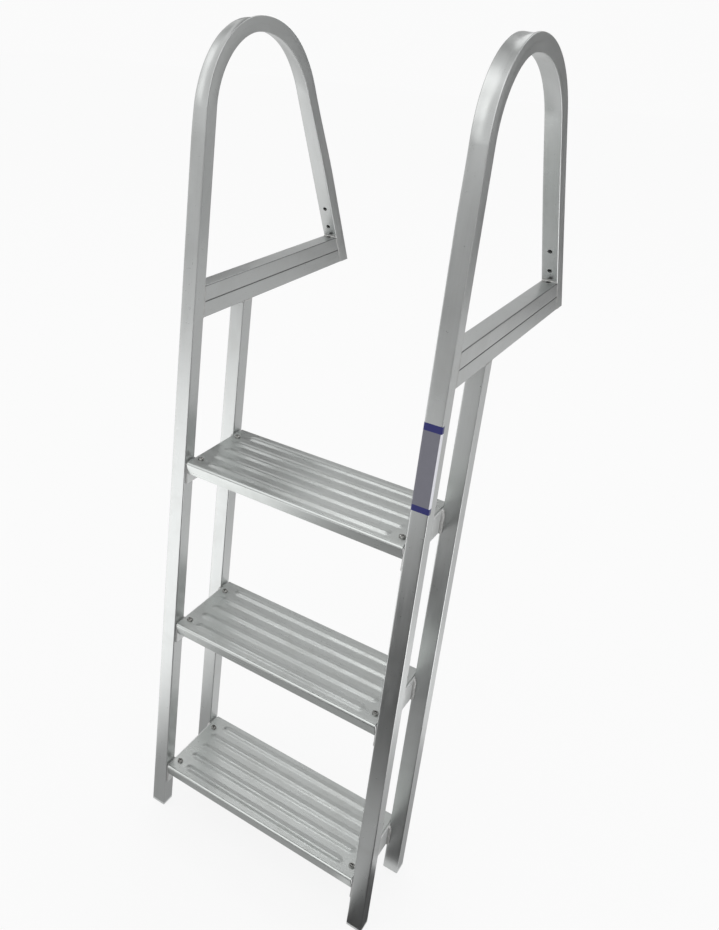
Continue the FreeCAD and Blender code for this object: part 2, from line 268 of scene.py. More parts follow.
def linked(name, data):
    """A new object of the scene."""
    made = bpy.data.objects.new(name, data)
    bpy.context.scene.collection.objects.link(made)
    return made


SHARP_EDGE = math.radians(35)
EASED_EDGE = math.radians(50)


def make_piece(name, points, faces, material, stock=None, replaces=None, slot=None, bevel=0.0):
    """A finished piece from arrays: it rides on the ladder and stands for its CAD node.

    stock is each point's place in the straight stock that the piece is made of,
    which its grain follows. bevel is the width of its eased edges.
    """
    mesh = bpy.data.meshes.new(name)
    mesh.from_pydata(points.tolist(), [], [face for group in faces for face in group.tolist()])
    mesh.update()
    if stock is not None:
        layer = mesh.attributes.new("stock", "FLOAT_VECTOR", "POINT")
        layer.data.foreach_set("vector", np.asarray(stock, np.float32).ravel())
    mesh.shade_smooth()
    mesh.set_sharp_from_angle(angle=SHARP_EDGE)
    piece = linked(name, mesh)
    if bevel:
        soften = piece.modifiers.new("eased_edges", "BEVEL")
        soften.width = bevel
        soften.segments = 2
        soften.limit_method = "ANGLE"
        soften.angle_limit = EASED_EDGE
        soften.harden_normals = False
    weigh = piece.modifiers.new("flat_faces", "WEIGHTED_NORMAL")
    weigh.keep_sharp = True
    mesh.materials.append(material)
    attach(piece, "root")
    if replaces:
        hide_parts(replaces)
    return piece


# The square tube

CORNER_STEPS = 6
FLAT_STEPS = 10
SIDE_STEPS = CORNER_STEPS + FLAT_STEPS
HOLE_STEPS = 48
STATION = 20 * MM
TUBE_BEVEL = 0.25 * MM
# A hole's room along the tube either way, and the least of it that counts as room
HOLE_REACH = 7.0 * MM
HOLE_ROOM = 0.9 * HOLE_REACH
# How far the rails' and the rear legs' stock is shifted, so that their grain differs
RAIL_SHIFT = 0.1
LEG_SHIFT = 0.2


def tube_loop(half, radius):
    """A square with round corners, anticlockwise: after each quarter circle comes a flat side."""
    turn = np.linspace(0, np.pi / 2, CORNER_STEPS + 1)[None, :] + np.arange(4)[:, None] * np.pi / 2
    centre = (half - radius) * np.array([[1, 1], [-1, 1], [-1, -1], [1, -1]])[:, None, :]
    arc = centre + radius * spread(np.cos(turn), np.sin(turn))
    share = np.linspace(0, 1, FLAT_STEPS + 1)[None, 1:-1, None]
    flat = (1 - share) * arc[:, -1:] + share * np.roll(arc[:, :1], -1, axis=0)
    return np.concatenate([arc, flat], axis=1).reshape(-1, 2)


class Route:
    """A tube's centre line in the plane of its frame, with what bending does along it."""

    def __init__(self, points, inward):
        self.points = points
        self.inward = inward
        self.tangent = np.cross(ACROSS, inward)
        steps = np.linalg.norm(np.diff(points, axis=0), axis=1)
        self.length = np.concatenate([[0.0], np.cumsum(steps)])
        self.bending = np.zeros(len(points))
        self.dents = ()
        self.skew = 0.0


# Where the bending tool has flattened each hoop: the corner across the frame and
# inwards (-1 or 1 each), its distance from the foot along the tube, how far it
# runs either way, and how far it moves towards the inside of the hoop
DENTS = {
    "right": (
        (-1, -1, 1.245, 0.10, 4.0 * MM),
        (-1, -1, 1.420, 0.07, 1.4 * MM),
        (-1, 1, 1.580, 0.22, -4.4 * MM),
    ),
    "left": (
        (-1, -1, 1.280, 0.08, 2.3 * MM),
        (-1, -1, 1.420, 0.22, 6.2 * MM),
        (1, -1, 1.450, 0.12, 1.8 * MM),
        (1, -1, 1.640, 0.20, 7.0 * MM),
        (1, 1, 1.610, 0.20, 6.0 * MM),
        (-1, 1, 1.510, 0.14, -5.0 * MM),
    ),
}
# How much more each hoop's walls sink on the right than in the middle
SKEW = {"right": 0.0, "left": 0.8}


def bent_section(loop, half, route, tube):
    """The section at every station, pressed out of square by bending.

    The outer and the inner wall sink and the side walls swell, each by its depth
    times the station's bending. Across a wall that is greatest in the middle and
    nothing at its edges, and the skew moves the sinking to one side. A dent then
    moves its corner by a squared cosine along the tube, fading evenly to the
    other corners.
    """
    a, b = loop[None, :, 0], loop[None, :, 1]
    reach = np.abs(loop).max()
    over = np.clip(1 - (a / reach) ** 2, 0, 1) ** 1.5 * (1 + route.skew * a / reach)
    beside = np.clip(1 - (b / reach) ** 2, 0, 1) ** 1.5
    strength = route.bending[:, None]
    depth = np.where(b < 0, tube.outer_sink, tube.inner_sink)
    sunk = b - np.sign(b) * depth * strength * over * (np.abs(b) / reach) ** 4
    swollen = a + np.sign(a) * tube.side_swell * strength * beside * (np.abs(a) / reach) ** 4
    for across, inwards, station, run, move in route.dents:
        away = np.clip((route.length[:, None] - station) / run, -1, 1)
        share = (1 + across * a / half) * (1 + inwards * b / half) / 4
        sunk = sunk + tube.pressing * move * share * np.cos(away * np.pi / 2) ** 2
    return spread(swollen, sunk)


def make_tube(route, half, shift=0.0, end_plane=None, bolts=()):
    """A hollow square tube carried along a route, as (points, faces, stock).

    A point is the station plus the section's first coordinate across the frame
    and its second along the inward direction. The inner wall is the same with a
    smaller section. The last section slides along the tube to the end plane,
    and each hole takes the place of one row of flat quads of both walls.
    """
    tube = bpy.context.scene.ladder_tube
    rows, columns = len(route.points), 4 * SIDE_STEPS
    count = rows * columns
    walls, stock = [], []
    for loop in (tube_loop(half, tube.corner), tube_loop(half - tube.wall, tube.inner_corner)):
        section = bent_section(loop, half, route, tube)
        wall = route.points[:, None] + section[..., :1] * ACROSS
        wall = wall + section[..., 1:] * route.inward[:, None]
        if end_plane is not None:
            place, normal = end_plane
            run = (place - wall[-1]) @ normal / (route.tangent[-1] @ normal)
            wall[-1] += run[:, None] * route.tangent[-1]
        walls.append(wall.reshape(-1, 3))
        stock.append(spread(loop[:, 0], loop[:, 1], route.length[:, None]).reshape(-1, 3))
    faces = []
    points = list(walls)
    start = 2 * count
    keep = np.ones(count - columns, bool)
    for row, side, centre, radius in hole_rows(route, bolts) if bolts else ():
        column = side * SIDE_STEPS + CORNER_STEPS + np.arange(FLAT_STEPS + 1)
        keep[row * columns + column[:-1]] = False
        column %= columns
        rim = np.concatenate([row * columns + column, (row + 1) * columns + column[::-1]])
        tangent, inward = route.tangent[row], route.inward[row]
        normal = inward if side == 0 else -inward
        away = walls[0][rim] - centre
        depths = (half, half - tube.wall)
        edges, made = pierce(centre, normal, tangent, depths, radius, away, rim, count, start)
        local = edges - centre
        level = (centre - route.points[row]) @ tangent + route.length[row]
        stock.append(spread(local @ ACROSS, local @ inward, level + local @ tangent))
        points.append(edges)
        faces.extend(made)
        start += len(edges)
    faces.append(grid_faces(rows, columns, True)[keep])
    faces.append(grid_faces(rows, columns, True, flip=True, start=count)[keep])
    first = np.append(np.arange(columns), 0)
    last = first + (rows - 1) * columns
    faces.append(strip_faces(first, first + count)[:, ::-1])
    faces.append(strip_faces(last, last + count))
    return np.concatenate(points), faces, np.concatenate(stock) + shift * ACROSS


def tube_piece(name, node, metal, tube):
    """A finished tube that stands for its CAD node."""
    points, faces, stock = tube
    return make_piece(name, points, faces, metal, stock, node, "tube_aluminium", TUBE_BEVEL)


def zipper(ring, ring_angle, circle, circle_angle):
    """Triangles between a ring and a circle inside it, both anticlockwise from angle 0.

    Every step of the circle takes the ring's point nearest in angle, and every
    step of the ring takes the circle's point where that nearest point changes.
    """
    middle = (ring_angle + np.append(ring_angle[1:], ring_angle[0] + 2 * np.pi)) / 2
    step = circle_angle + np.pi / len(circle)
    nearest = np.searchsorted(middle, step) % len(ring)
    change = np.searchsorted(step, middle) % len(circle)
    spokes = spread(ring[nearest], np.roll(circle, -1), circle)
    edges = spread(ring, np.roll(ring, -1), circle[change])
    return np.concatenate([spokes, edges])


def pierce(centre, normal, tangent, depths, radius, away, rim, inner_start, start):
    """A round hole through one wall: two edges, the bore between, and triangles to the rim.

    An edge's point is the centre plus the wall's distance along its normal plus
    a circle of the hole's radius across the frame and along the tube. Seen from
    outside, the circle and the rim run anticlockwise.
    """
    right = np.cross(tangent, normal)
    turn = np.arange(HOLE_STEPS) * 2 * np.pi / HOLE_STEPS
    circle = radius * (np.cos(turn)[:, None] * right + np.sin(turn)[:, None] * tangent)
    edges = [centre + depth * normal + circle for depth in depths]
    bearing = np.arctan2(away @ tangent, away @ right) % (2 * np.pi)
    order = np.argsort(bearing)
    rim, bearing = rim[order], bearing[order]
    outer_ring = np.arange(HOLE_STEPS) + start
    inner_ring = outer_ring + HOLE_STEPS
    return np.concatenate(edges), [
        zipper(rim, bearing, outer_ring, turn),
        zipper(rim + inner_start, bearing, inner_ring, turn)[:, ::-1],
        strip_faces(np.append(inner_ring, inner_ring[0]), np.append(outer_ring, outer_ring[0])),
    ]


def smooth_step(share):
    """0 up to 0, 1 from 1 on, and three squares less two cubes between."""
    share = np.clip(share, 0, 1)
    return share * share * (3 - 2 * share)


def straight(start, end, inward, bolts=()):
    """A straight run: even stations, and one on either side of each bolt hole with none across it."""
    length = np.linalg.norm(end - start)
    direction = (end - start) / length
    levels = np.sort([(place - start) @ direction for place, _, _ in bolts])
    even = np.linspace(0, length, max(2, int(length / STATION)))
    marks = np.unique(np.round(np.concatenate([even, levels - HOLE_REACH, levels + HOLE_REACH]), 7))
    for level in levels:
        marks = marks[np.abs(marks - level) >= HOLE_REACH - 0.001 * MM]
    return start + marks[:, None] * direction, np.broadcast_to(inward, (len(marks), 3))


def bend(centre, radius, first, last, steps):
    """An arc of a circle in the plane of the frame, from one angle above +Y to another."""
    turn = np.linspace(first, last, steps + 1)
    outward = np.cos(turn)[:, None] * ALONG + np.sin(turn)[:, None] * UP
    return centre + radius * outward, -outward


def hole_rows(route, bolts):
    """Each bolt's two holes: interval of the route, wall, centre on the tube's axis, radius."""
    found = []
    for place, axis, radius in bolts:
        for row, (a, b) in enumerate(zip(route.points, route.points[1:])):
            step = np.linalg.norm(b - a)
            level = (place - a) @ (b - a) / step
            centre = a + level * (b - a) / step
            on_axis = np.linalg.norm(np.cross(centre - place, axis)) < MM
            if on_axis and HOLE_ROOM < level < step - HOLE_ROOM:
                found.extend((row, side, centre, radius) for side in (0, 2))
                break
    if len(found) != 2 * len(bolts):
        raise RuntimeError(f"{len(found)} holes for {len(bolts)} bolts")
    return found


def hoop_geometry(side):
    """The places that a hoop's centre line follows from: its box, the front bend and the lean."""
    tube = bpy.context.scene.ladder_tube
    low, high = node_box(f"{side}_hoop_rail")
    size = high[0] - low[0]
    lean = tube.down_lean
    slant = size / math.cos(lean)
    top, heel = high[2] - size / 2, high[1] - slant / 2
    front = low[1] + size / 2
    crown = front + tube.front_bend
    rear = (heel - crown - top * math.tan(lean)) * math.cos(lean) / (1 - math.sin(lean))
    return SimpleNamespace(
        centre=(low[0] + high[0]) / 2, half=size / 2, foot=low[2], front=front, top=top,
        heel=heel, crown=crown, rear=rear, lean=lean, slant=slant,
    )


# The pressing sets in over this many half widths, this share of them before the bend
EASE = 2.4
LEAD = 0.3
FRONT_STEPS = 72
REAR_STEPS = 64


def hoop_route(side, bolts):
    """Up from the foot, over two tangent arcs, and down on a slant past the heel."""
    g = hoop_geometry(side)
    tube = bpy.context.scene.ladder_tube

    def at(y, z):
        return np.array([g.centre, y, z])

    down_inward = np.array([0.0, -math.cos(g.lean), -math.sin(g.lean)])
    spring = g.top - tube.front_bend
    rear_centre = at(g.crown, g.top - g.rear)
    parts = [
        straight(at(g.front, g.foot), at(g.front, spring), ALONG),
        bend(at(g.crown, spring), tube.front_bend, math.pi, math.pi / 2, FRONT_STEPS),
        bend(rear_centre, g.rear, math.pi / 2, g.lean, REAR_STEPS),
        straight(rear_centre - g.rear * down_inward, at(g.heel, 0.0), down_inward, bolts),
    ]
    whole = [np.concatenate([parts[0][i]] + [part[i][1:] for part in parts[1:]]) for i in (0, 1)]
    route = Route(*whole)
    length = route.length
    ends = np.cumsum([len(part[0]) - 1 for part in parts[:3]])
    bend_start, crown_start, bend_end = length[ends]
    ease = g.half * EASE
    front = smooth_step((length - bend_start) / ease + LEAD)
    crown = smooth_step((length - crown_start) / ease + 0.5)
    rear = smooth_step((bend_end - length) / ease + LEAD)
    route.bending = front * rear * (1 - crown * (1 - tube.front_bend / g.rear))
    route.dents = DENTS[side]
    route.skew = SKEW[side]
    return route, g


class LADDER_OT_bend_hoops(bpy.types.Operator):
    """Bends the two hoop rails out of square tube, with their bolt holes."""

    bl_idname = "ladder.bend_hoops"
    bl_label = "Bend the hoop rails"

    def execute(self, context):
        for side in SIDES:
            bolts = bolt_holes(side, "down_tube")
            route, g = hoop_route(side, bolts)
            made = make_tube(route, g.half, 0.0, (np.zeros(3), UP), bolts)
            tube_piece(f"{side}_hoop", f"{side}_hoop_rail", tube_metal(), made)
        return {"FINISHED"}


class LADDER_OT_lay_deck_rails(bpy.types.Operator):
    """Lays the four deck rails between the front legs and the down tubes."""

    bl_idname = "ladder.lay_deck_rails"
    bl_label = "Lay the deck rails"

    def execute(self, context):
        for side in SIDES:
            g = hoop_geometry(side)
            bolts = bolt_holes(side, "heel")
            cut = (ALONG * (g.heel - g.slant / 2), np.array([0.0, math.cos(g.lean), math.sin(g.lean)]))
            for layer in ("lower", "upper"):
                low, high = node_box(f"{side}_deck_rail_{layer}")
                half = (high[0] - low[0]) / 2
                start = np.array([g.centre, low[1], (low[2] + high[2]) / 2])
                end = np.array([g.centre, high[1], start[2]])
                made = make_tube(Route(*straight(start, end, -UP, bolts)), half, RAIL_SHIFT, cut, bolts)
                tube_piece(f"{side}_rail_{layer}", f"{side}_deck_rail_{layer}", rail_metal(half), made)
        return {"FINISHED"}


class LADDER_OT_stand_rear_legs(bpy.types.Operator):
    """Stands the two rear legs under the deck rails."""

    bl_idname = "ladder.stand_rear_legs"
    bl_label = "Stand the rear legs"

    def execute(self, context):
        for side in SIDES:
            low, high = node_box(f"{side}_rear_leg")
            x, y, _ = (low + high) / 2
            route = Route(*straight(np.array([x, y, low[2]]), np.array([x, y, high[2]]), ALONG))
            made = make_tube(route, (high[0] - low[0]) / 2, LEG_SHIFT)
            tube_piece(f"{side}_back_leg", f"{side}_rear_leg", tube_metal(), made)
        return {"FINISHED"}


# The pressed treads

SHEET_BEVEL = 0.3 * MM
FOLD_POINTS = 15
FLANGE_POINTS = 7
TOP_POINTS = 211
# Where a tread's columns stand close, measured from its end, how close, and the last step
CLOSE_FROM = 39 * MM
CLOSE_TO = 15 * MM
CLOSE_STEP = 0.8 * MM
END_STEP = 8 * MM


def bead_field(x, y, length, depth, tread):
    """Height of the five beads over the sheet, where each bead's spine is a straight line.

    The distance to a spine is the distance across it, and past the spine's end
    the distance to that end, which domes the end of the bead. The height is half
    the crest's times one and the cosine, whose half wave runs from the spine to
    the bead's reach, so that both the crest and the foot are round.
    """
    height = 0.0
    for place in (-2, -1, 0, 1, 2):
        inset = tread.outer_inset if abs(place) == 2 else tread.bead_inset
        spine = length / 2 - inset - tread.bead_width / 2
        across = y - depth / 2 - place * tread.bead_pitch
        past = np.maximum(np.abs(x) - spine, 0.0)
        share = np.clip(np.hypot(across, past) / tread.bead_reach, 0, 1)
        height = np.maximum(height, tread.bead_crest * (1 + np.cos(np.pi * share)) / 2)
    return height


def pan_profile(depth, tread):
    """The folded sheet's outside from the front flange's foot over the top to the rear one.

    Straight flange, quarter-and-a-bit arc, flat top, and the same mirrored, with
    the outward direction at each point.
    """
    lean = tread.fold_lean
    arc = np.linspace(math.pi + lean, math.pi / 2, FOLD_POINTS)
    run = (tread.flange - tread.edge * (1 + math.sin(lean))) / math.cos(lean)
    outward = spread(np.cos(arc), np.sin(arc))
    fold = np.array([tread.edge, -tread.edge]) + tread.edge * outward
    down = np.array([math.sin(lean), -math.cos(lean)])
    flange = fold[0] + np.linspace(run, 0, FLANGE_POINTS)[:-1, None] * down
    top = np.linspace(tread.edge, depth - tread.edge, TOP_POINTS)[1:-1]
    half_points = np.concatenate([flange, fold])
    half_normals = np.concatenate([np.repeat(outward[:1], len(flange), axis=0), outward])
    mirror = np.array([-1.0, 1.0])
    points = [half_points, spread(top, 0.0), half_points[::-1] * mirror + np.array([depth, 0.0])]
    normals = [half_normals, np.tile([0.0, 1.0], (len(top), 1)), half_normals[::-1] * mirror]
    return np.concatenate(points), np.concatenate(normals)


class LADDER_OT_press_treads(bpy.types.Operator):
    """Presses the three beaded treads and folds their flanges."""

    bl_idname = "ladder.press_treads"
    bl_label = "Press the treads"

    def execute(self, context):
        tread = context.scene.ladder_tread
        for order, step in enumerate(STEPS):
            low, high = node_box(f"{step}_tread")
            length, depth = high[0] - low[0], high[1] - low[1]
            profile, normals = pan_profile(depth, tread)
            run = np.concatenate([[0.0], np.cumsum(np.linalg.norm(np.diff(profile, axis=0), axis=1))])
            close = np.arange(length / 2 - CLOSE_FROM, length / 2 - CLOSE_TO, CLOSE_STEP)
            middle = np.linspace(0, length / 2 - CLOSE_FROM - MM, 9)
            half = np.concatenate([middle, close, [length / 2 - END_STEP, length / 2]])
            x = np.concatenate([-half[:0:-1], half])[:, None]
            on_top = normals[:, 1] > 0.999
            field = bead_field(x, profile[None, :, 0], length, depth, tread) * on_top
            shells = []
            for inset in (0.0, tread.sheet):
                y, z = (profile - inset * normals).T
                level = z + (high[2] - tread.bead_rise) + field
                shells.append(spread(x + (low[0] + high[0]) / 2, y + low[1], level).reshape(-1, 3))
            stock = spread(run, 0.0, x + order).reshape(-1, 3)
            make_piece(
                f"{step}_step", np.concatenate(shells), sheet_faces(*field.shape, False), tread_metal(),
                np.concatenate([stock, stock]), f"{step}_tread", "tread_aluminium", SHEET_BEVEL
            )
        return {"FINISHED"}


# Brackets and screws


class LADDER_OT_fit_brackets(bpy.types.Operator):
    """Fits the six angle brackets under the treads' ends."""

    bl_idname = "ladder.fit_brackets"
    bl_label = "Fit the brackets"

    def execute(self, context):
        plate = context.scene.ladder_fasteners.plate
        for step in STEPS:
            for side in SIDES:
                low, high = node_box(f"{step}_{side}_bracket")
                inward, root = (-1.0, high[0]) if side == "right" else (1.0, low[0])
                loop = angle_section(high[0] - low[0], high[2] - low[2], plate)
                y = np.linspace(low[1], high[1], 7)[:, None]
                points = spread(root + inward * loop[:, 0], y, high[2] + loop[:, 1]).reshape(-1, 3)
                make_piece(
                    f"{step}_{side}_angle", points, closed_faces(points, len(loop), inward < 0),
                    bracket_metal(), points[:, [0, 2, 1]], f"{step}_{side}_bracket",
                    "bracket_aluminium", SHEET_BEVEL
                )
        return {"FINISHED"}


def angle_section(width, height, plate):
    """An L-shaped section from its heel: a level leg, an upright leg down, round inside the heel."""
    inside = 1.6 * MM
    arc = np.linspace(math.pi / 2, math.pi, 7)
    hollow = np.array([plate + inside, -plate - inside]) + inside * spread(np.cos(arc), np.sin(arc))
    return np.concatenate([
        [[0.0, 0.0], [0.0, -height], [plate, -height]],
        hollow[::-1],
        [[width, -plate], [width, 0.0]],
    ])


def around(columns):
    """The angles of a turned surface's columns."""
    return np.arange(columns) * 2 * np.pi / columns


def revolved(centre, radius, height, columns):
    """A closed surface turned about +Z, from a radius and a height for each row and angle."""
    turn = around(columns)
    x, y = centre[0] + radius * np.cos(turn), centre[1] + radius * np.sin(turn)
    points = spread(x, y, centre[2] + height).reshape(-1, 3)
    return points, closed_faces(points, columns)


HEAD_COLUMNS = 72
THREAD_COLUMNS = 24
THREAD_PITCH = 0.8 * MM
THREAD_ROWS = 60
THREAD_DEPTH = 0.13
# The cross recess: half the width of an arm, its reach, its soft edge and its depth
RECESS_ARM, RECESS_REACH, RECESS_SOFT, RECESS_DEPTH = 0.62 * MM, 2.7 * MM, 0.22 * MM, 1.5 * MM


def pan_head(place, turn, sizes):
    """A pan head with a cross recess, as a grid of rings from the rim's foot up to the crown.

    The wall rounds in over a quarter sine, and the domed top then falls with the
    2.4th power of the radius. The recess is cut where a point is near either of
    two crossed lines.
    """
    rim = np.linspace(0.0, 1.0, 6)
    crown = np.linspace(1.0, 0.05, 26)
    rounding = 1.0 - 0.13 * np.sin(rim * np.pi / 2) ** 2 * rim
    share = np.concatenate([np.ones(3), rounding, crown * 0.87])
    wall = sizes.head_rise * 0.52
    side = np.concatenate([
        [0.0, 0.4 * wall, 0.8 * wall],
        wall * (0.8 + 0.2 * rim) + 0.3 * sizes.head_rise * (1 - np.cos(rim * np.pi / 2)),
    ])
    dome = side[-1] + (sizes.head_rise - side[-1]) * (1 - crown ** 2.4)
    height = np.concatenate([side, dome])[:, None]
    radius = (share * sizes.head)[:, None]
    x, y = (np.abs(radius * wave(around(HEAD_COLUMNS) + turn)) for wave in (np.cos, np.sin))
    beside = np.clip((RECESS_ARM - np.minimum(x, y)) / RECESS_SOFT + 0.5, 0, 1)
    within = np.clip((RECESS_REACH - np.maximum(x, y)) / (3 * RECESS_SOFT) + 0.5, 0, 1)
    cut = beside * within * RECESS_DEPTH
    cut[:len(side)] = 0.0
    return revolved(place, radius, height - cut, HEAD_COLUMNS)


def thread(place, low, high, sizes):
    """A screw's thread: the radius rises and falls once for each turn and pitch of height."""
    z = np.linspace(low, high, THREAD_ROWS)[:, None]
    wave = np.abs(((z / THREAD_PITCH - around(THREAD_COLUMNS) / (2 * np.pi)) % 1.0) - 0.5) * 2
    radius = sizes.shank * (1 - THREAD_DEPTH + THREAD_DEPTH * wave)
    return revolved(place, radius, z - place[2], THREAD_COLUMNS)


def nut(place, low, sizes, turn):
    """A hexagon nut: the radius is the hexagon's, capped by a cone near its two faces."""
    flat = (around(HEAD_COLUMNS) + turn) % (np.pi / 3) - np.pi / 6
    level = np.array([0.0, 0.05, 0.12, 0.2, 0.8, 0.88, 0.95, 1.0])[:, None]
    cone = sizes.nut + np.minimum(level, 1 - level) * sizes.nut_height * 1.7
    radius = np.minimum(sizes.nut / np.cos(flat), cone)
    return revolved(place, radius, low - place[2] + level * sizes.nut_height, HEAD_COLUMNS)


def screw_places(step, sizes):
    """The four screws of a tread: beside each frame, near the front and near the back."""
    low, high = node_box(f"{step}_tread")
    found = []
    for side in SIDES:
        hoop_low, hoop_high = node_box(f"{side}_hoop_rail")
        x = hoop_low[0] - sizes.screw_inset if side == "right" else hoop_high[0] + sizes.screw_inset
        for end, y in (("front", low[1] + sizes.front_screw), ("rear", high[1] - sizes.rear_screw)):
            found.append((side, end, np.array([x, y, high[2]])))
    return found


class LADDER_OT_drive_screws(bpy.types.Operator):
    """Drives the pan-head screws through treads and brackets, with a nut under each."""

    bl_idname = "ladder.drive_screws"
    bl_label = "Drive the screws"

    def execute(self, context):
        sizes = context.scene.ladder_fasteners
        tread = context.scene.ladder_tread
        turn = 0.7
        for step in STEPS:
            for side, end, place in screw_places(step, sizes):
                seat = place - UP * tread.bead_rise
                low = seat[2] - tread.sheet - sizes.plate - sizes.nut_height
                points, faces = joined([
                    pan_head(seat, turn, sizes),
                    thread(seat, low - 2.4 * MM, seat[2] + 0.2 * MM, sizes),
                    nut(seat, low, sizes, turn),
                ])
                make_piece(f"{step}_{side}_{end}_screw", points, faces, steel_metal())
                turn += 1.9
        return {"FINISHED"}


# Welds

SEAM_WIDTH = 4.0 * MM
SEAM_RISE = 0.45 * MM
WELD_INSET = 0.6 * MM
# Where a bracket's end welds and the welds on its back start and stop, past its foot and top
END_SPAN = (0.5 * MM, -MM)
TAIL_SPAN = (-1.5 * MM, MM)


def weld_run(start, end, moon, phase, tip, sizes):
    """A weld's direction, distances along it, ripple, and the taper that closes both its ends.

    The ripple is the 0.7th power of a sine's size, once a pitch, and the moon
    bends its crests across the bead. The taper is a quarter circle over the tip.
    """
    length = np.linalg.norm(end - start)
    along = np.linspace(0, length, max(24, int(length / sizes.weld_pitch * 9)))[:, None]
    ripple = np.abs(np.sin(np.pi * (along + moon + phase) / sizes.weld_pitch)) ** 0.7
    closing = np.clip((tip - np.minimum(along, length - along)) / tip, 0, 1)
    return (end - start) / length, along, ripple, np.sqrt(np.clip(1 - closing ** 2, 0.0004, 1))


def weld_skin(root, surface, back, flip):
    """A closed weld out of its root's line and its surface, whose columns may run backwards."""
    points = np.concatenate([root[:, None, :], surface], axis=1)
    columns = points.shape[1]
    points = (points[:, ::-1] if back else points).reshape(-1, 3)
    return points, closed_faces(points, columns, flip)


def weld_bead(start, end, first, second, leg, sizes, phase):
    """A rippled weld along a corner, from start to end.

    first and second are the directions away from the corner along the two faces
    that it joins. Across the bead the surface is an arc between them, and along
    it the arc swells once a ripple, with each crest bent like a new moon.
    """
    share = np.linspace(0, 1, 11)[None, :]
    moon = 0.35 * sizes.weld_pitch * np.sin(np.pi * share)
    direction, along, ripple, taper = weld_run(start, end, moon, phase, leg * 0.9, sizes)
    wander = 0.05 * np.sin(along * 410.0 + phase * 900.0)
    wander = wander + 0.04 * np.sin(along * 173.0 + phase * 2100.0)
    size = leg * taper * (0.86 + 0.10 * ripple + wander) * (1 + 0.10 * np.sin(np.pi * share))
    out, over = size * np.cos(share * np.pi / 2), size * np.sin(share * np.pi / 2)
    surface = start + along[..., None] * direction + out[..., None] * first + over[..., None] * second
    sink = (first + second) / np.linalg.norm(first + second) * (-0.25 * leg)
    root = start + along * direction + sink * taper
    return weld_skin(root, surface, np.cross(first, second) @ direction < 0, True)


def seam_bead(start, end, outward, sizes, phase):
    """A low weld along a flush seam: across it the surface is a flat arc, rippled along its length."""
    share = np.linspace(-1, 1, 13)[None, :]
    arc = 1 - share ** 2
    moon = 0.4 * sizes.weld_pitch * arc
    direction, along, ripple, taper = weld_run(start, end, moon, phase, SEAM_WIDTH, sizes)
    wander = 0.10 * np.sin(along * 330.0 + phase * 700.0)
    height = SEAM_RISE * taper * arc * (0.7 + 0.3 * ripple + wander) - 0.05 * MM
    across = share * SEAM_WIDTH / 2 * taper * (1 + 0.96 * wander)
    beside = np.cross(outward, direction)
    line = start + along[..., None] * direction
    surface = line + across[..., None] * beside + height[..., None] * outward
    return weld_skin(start + along * direction - 0.6 * MM * outward * taper, surface, False, False)


def frame_welds(side, sizes):
    """Welds of one side frame: deck rails to front leg and down tube, rear leg to deck rail."""
    g = hoop_geometry(side)
    lower_low = node_box(f"{side}_deck_rail_lower")[0]
    upper_high = node_box(f"{side}_deck_rail_upper")[1]
    leg_front = node_box(f"{side}_rear_leg")[0][1]
    rail_front, floor, roof = lower_low[1], lower_low[2], upper_high[2]
    reach = g.half - WELD_INSET
    down_up = np.array([0.0, -math.sin(g.lean), math.cos(g.lean)])

    def down_face(z):
        return g.heel - g.slant / 2 - z * math.tan(g.lean)

    parts = []
    for y, z, first, second, leg, phase in (
        (rail_front, roof, ALONG, UP, sizes.weld, 0.3 * MM),
        (rail_front, floor, ALONG, -UP, sizes.weld, 0.9 * MM),
        (leg_front, floor, -ALONG, -UP, sizes.weld, 1.4 * MM),
        (down_face(roof), roof, -ALONG, down_up, sizes.weld * 1.1, 0.1 * MM),
    ):
        ends = (np.array([g.centre + sign * reach, y, z]) for sign in (-1, 1))
        parts.append(weld_bead(*ends, first, second, leg, sizes, phase))
    seams = (
        ((rail_front, floor + MM), (rail_front, roof - MM)),
        ((down_face(floor), floor + MM), (down_face(roof), roof - MM)),
        ((leg_front + MM, floor), (-MM, floor)),
    )
    for sign in (-1, 1):
        for order, ends in enumerate(seams):
            start, end = (np.array([g.centre + sign * g.half, *place]) for place in ends)
            parts.append(seam_bead(start, end, ACROSS * sign, sizes, (0.5 + order) * MM))
    return parts


def bracket_welds(side, step, sizes):
    """Welds of one bracket: its ends to the legs' inner faces, and the legs' edges to its back."""
    low, high = node_box(f"{step}_{side}_bracket")
    hoop_low, hoop_high = node_box(f"{side}_hoop_rail")
    inward, face = (-ACROSS, high[0]) if side == "right" else (ACROSS, low[0])
    leg_back = hoop_low[1] + hoop_high[0] - hoop_low[0]
    rear_front = node_box(f"{side}_rear_leg")[0][1]
    end_weld, tail_weld = sizes.weld * 0.8, sizes.weld * 1.5
    parts = []
    for y, span, first, second, leg, phase in (
        (low[1], END_SPAN, -ALONG, inward, end_weld, 0.2 * MM),
        (high[1], END_SPAN, ALONG, inward, end_weld, 1.1 * MM),
        (leg_back, TAIL_SPAN, ALONG, -inward, tail_weld, 0.7 * MM),
        (rear_front, TAIL_SPAN, -ALONG, -inward, tail_weld, 1.7 * MM),
    ):
        start = np.array([face, y, low[2] + span[0]])
        end = np.array([face, y, high[2] + span[1]])
        parts.append(weld_bead(start, end, first, second, leg, sizes, phase))
    return parts


